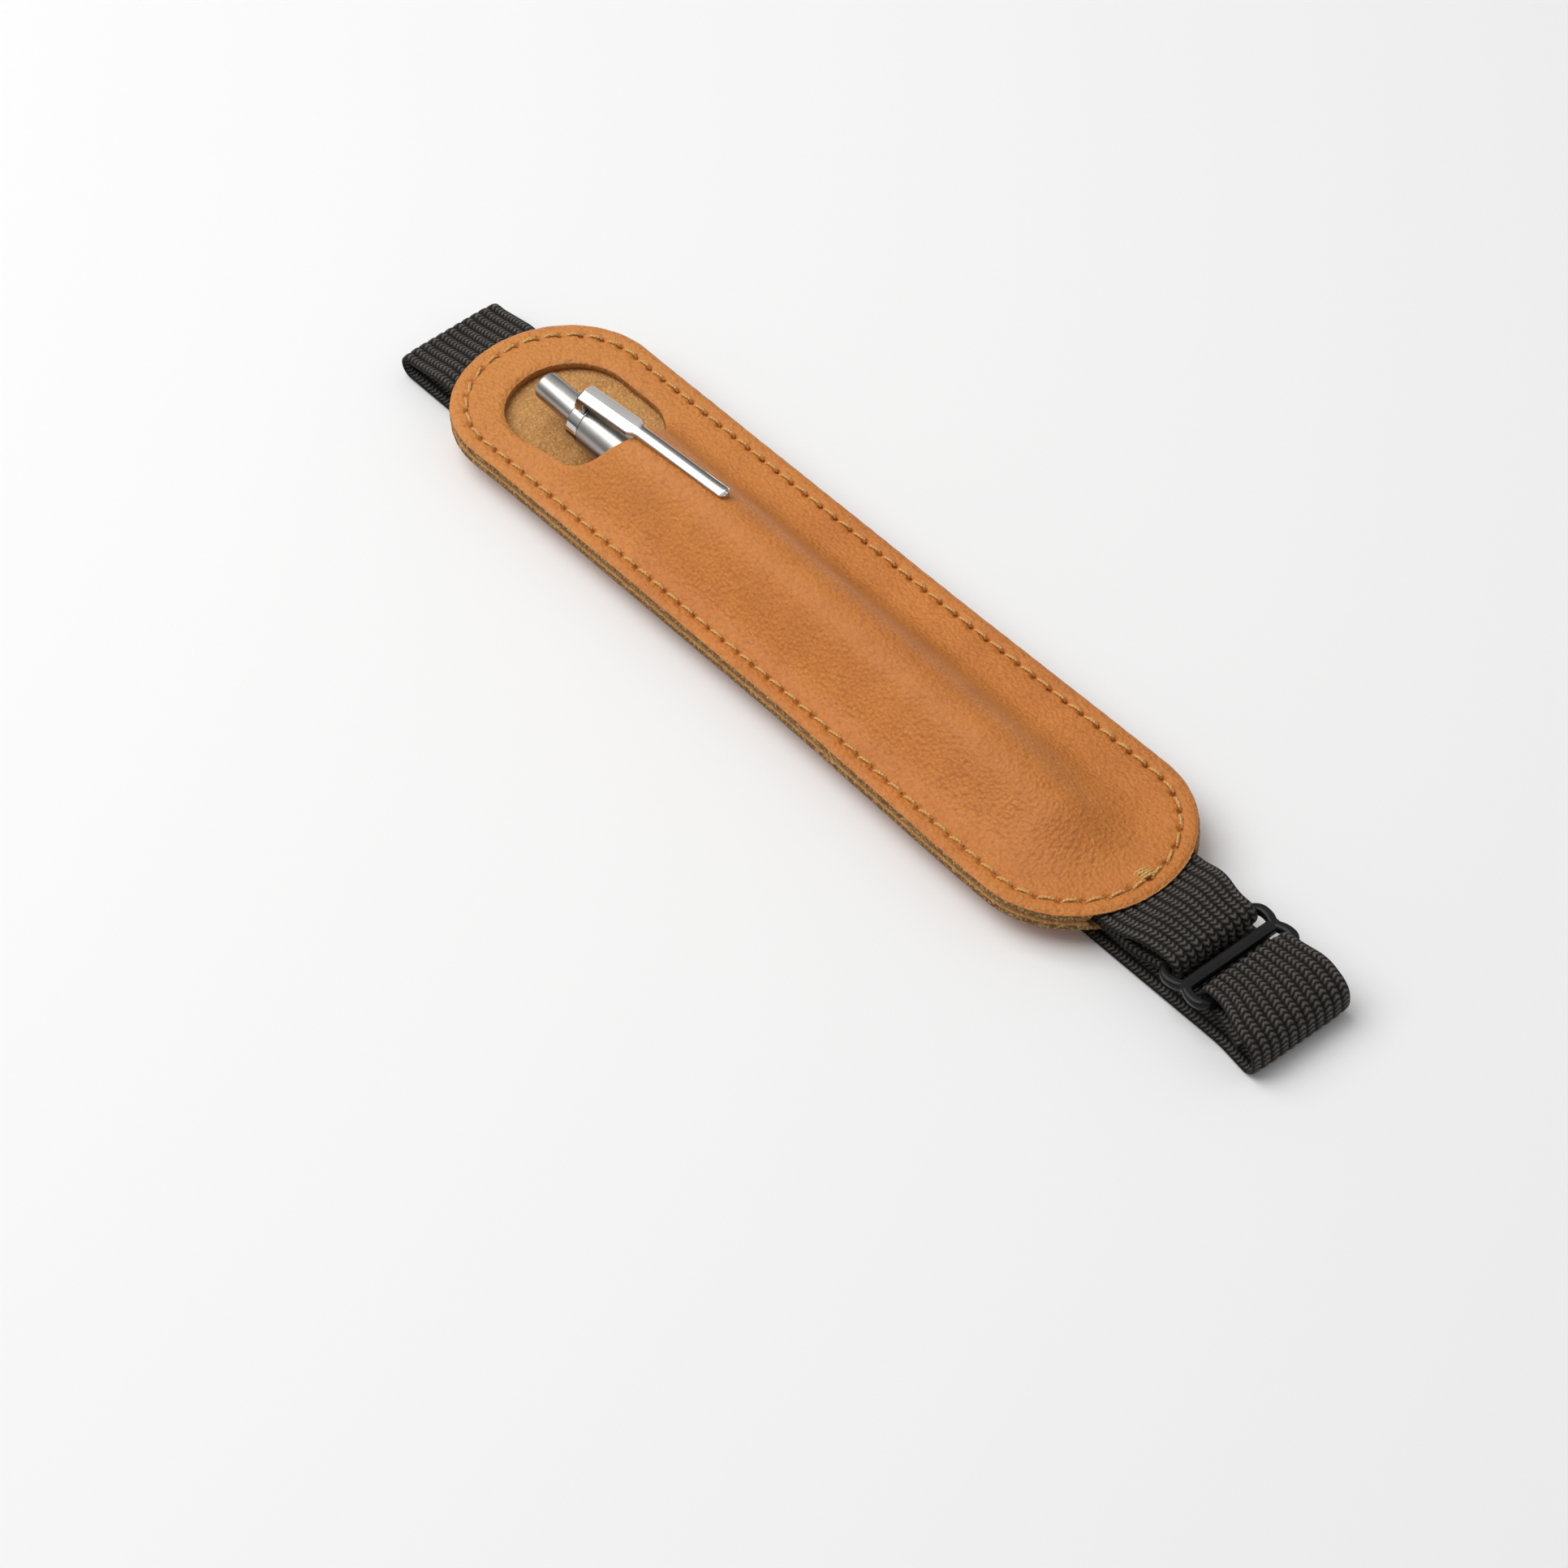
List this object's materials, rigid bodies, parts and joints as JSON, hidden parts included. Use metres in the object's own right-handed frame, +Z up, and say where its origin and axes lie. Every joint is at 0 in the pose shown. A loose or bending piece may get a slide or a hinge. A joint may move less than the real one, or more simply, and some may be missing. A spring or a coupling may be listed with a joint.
{
  "type": "pen case with strap",
  "caption": "Leather pen pocket with a round-ended window, sewn to an elastic strap with a slider that grips a board, and a push-button pen clipped in it.",
  "frame": {"origin": "on the surface that the strap lies on, under the middle of the strap loop", "axes": "+X along the strap loop from the window end of the case to the slider end, +Z up out of the leather front"},
  "size_m": [0.215, 0.038, 0.0209],
  "materials": {
    "leather": "natural tan, fine grain, raw edges",
    "thread": "waxed thread",
    "elastic": "ribbed knitted elastic",
    "slider": "gloss black",
    "satin_metal": "satin",
    "polished_metal": "polished",
    "inner_plastic": "moulded",
    "refill_metal": "drawn tube",
    "refill_brass": "turned",
    "spring_steel": "wire"
  },
  "bodies": {
    "case": {"front_panel": "leather", "back_panel": "leather", "front_stitches": "thread", "back_stitches": "thread", "strap_head_fold": "elastic", "strap_lower_run": "elastic", "strap_foot_loop": "elastic", "strap_short_loop": "elastic"},
    "slider": {"slider_frame": "slider"},
    "pen": {"clip_collar": "polished_metal", "upper_barrel": "satin_metal", "lower_barrel": "satin_metal", "nose_cone": "polished_metal", "cam_sleeve": "inner_plastic", "return_spring": "spring_steel"},
    "clip": {"pen_clip": "polished_metal"},
    "click_train": {"push_button": "satin_metal", "cam_rotor": "inner_plastic", "refill_tube": "refill_metal", "refill_point": "refill_brass"}
  },
  "joints": [
    {"name": "pen_withdraw", "type": "slide", "parent": "case", "child": "pen", "axis": [-0.9997, 0, 0.0239], "range_m": [0, 0.15]},
    {"name": "button_press", "type": "slide", "parent": "pen", "child": "click_train", "axis": [0.9997, 0, -0.0239], "range_m": [0, 0.0035], "stiffness_N_per_m": 400, "deforming": ["return_spring"]},
    {"name": "clip_flex", "type": "hinge", "parent": "pen", "child": "clip", "pos_m": [-0.0658, -0.0022, 0.01649], "axis": [0, -1, 0], "range_deg": [0, 5], "stiffness_Nm_per_rad": 0.6},
    {"name": "slider_lift", "type": "hinge", "parent": "case", "child": "slider", "pos_m": [0.0851, 0, 0.006], "axis": [0, -1, 0], "range_deg": [0, 3]}
  ]
}
